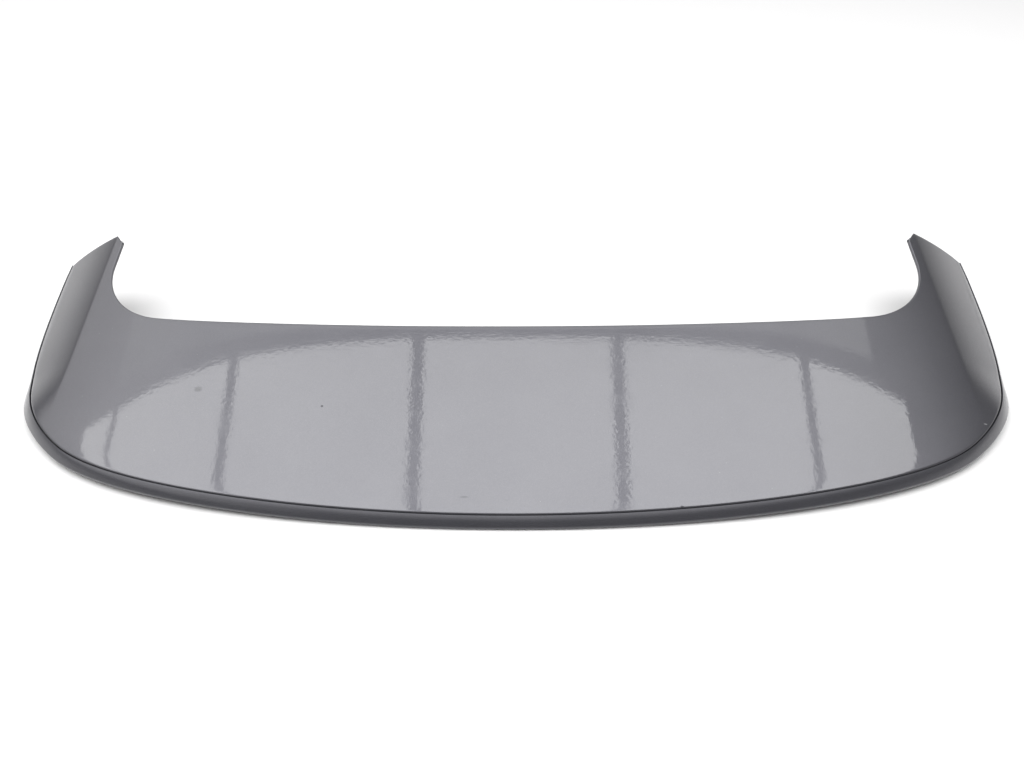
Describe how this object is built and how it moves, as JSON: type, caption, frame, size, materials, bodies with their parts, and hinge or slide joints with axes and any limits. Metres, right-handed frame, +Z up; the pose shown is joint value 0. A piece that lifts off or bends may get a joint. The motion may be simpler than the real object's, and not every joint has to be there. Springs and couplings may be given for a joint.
{
  "type": "car roof spoiler",
  "caption": "Painted hatchback roof spoiler: a crowned two-shell wing with a slanted trailing rim and two forward arms round a U-shaped bay.",
  "frame": {"origin": "middle of the base, halfway between the trailing rim and the arm tips, on the plane that the trailing lip and the mounting heel stand on", "axes": "+X across the car, +Y forward from the trailing edge to the arm tips, +Z up out of the painted top"},
  "size_m": [1.202, 0.407, 0.1018],
  "materials": {
    "paint": "metallic grey base coat under clear coat on plastic",
    "paint_lower": "metallic grey on the rim, fading to black moulded plastic underneath",
    "adhesive": "cured black bonding bead",
    "black_plastic": "fine moulded grain",
    "seal_rubber": "satin extruded rubber",
    "steel": "zinc plated",
    "brass": "turned and knurled",
    "foam": "closed cell foam",
    "white_plastic": "natural moulded plastic"
  },
  "bodies": {
    "root": {"upper_shell": "paint", "lower_shell": "paint_lower", "adhesive_bead": "adhesive", "tip_cap_left": "black_plastic", "tip_cap_right": "black_plastic", "roof_edge_seal": "seal_rubber", "boss_blocks": "black_plastic", "reinforcement_bar": "steel", "threaded_inserts": "brass", "base_gaskets": "foam", "locating_pins": "white_plastic", "clip_holders": "black_plastic", "arm_clips": "white_plastic", "arm_foam_pads": "foam"}
  },
  "joints": []
}
